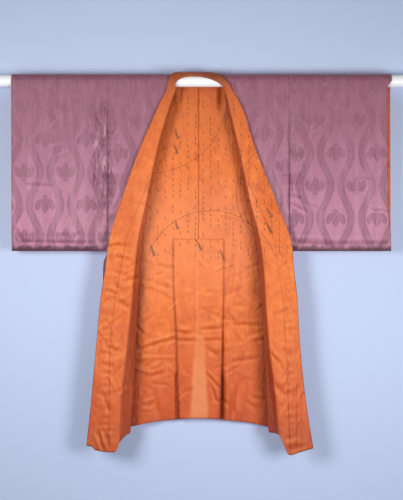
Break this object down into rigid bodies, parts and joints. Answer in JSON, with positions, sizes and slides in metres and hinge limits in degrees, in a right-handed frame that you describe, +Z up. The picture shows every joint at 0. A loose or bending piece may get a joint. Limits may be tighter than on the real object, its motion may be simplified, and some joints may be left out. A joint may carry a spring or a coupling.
{
  "type": "dofuku coat on a display rod",
  "caption": "Open-fronted lined silk coat with square sleeves and a vented back, its front edges turned out, hung through both sleeves on a round rod.",
  "frame": {"origin": "on the rod's axis at the middle of its length, where the rod carries the coat", "axes": "+X along the rod to the viewer's right, +Y away from the viewer towards the coat's back, +Z up"},
  "size_m": [1.38, 0.0887, 1.209],
  "materials": {
    "figured_silk": "satin",
    "lining_silk": "satin",
    "white_rod": "satin"
  },
  "bodies": {
    "root": {"back_left_outer": "figured_silk", "front_left_outer": "figured_silk", "sleeve_left_outer": "figured_silk", "back_right_outer": "figured_silk", "front_right_outer": "figured_silk", "sleeve_right_outer": "figured_silk", "collar_outer": "figured_silk", "vent_panel_outer": "figured_silk", "back_left_lining": "lining_silk", "front_left_lining": "lining_silk", "sleeve_left_lining": "lining_silk", "back_right_lining": "lining_silk", "front_right_lining": "lining_silk", "sleeve_right_lining": "lining_silk", "collar_lining": "lining_silk", "vent_panel_lining": "lining_silk", "rod": "white_rod"}
  },
  "joints": []
}
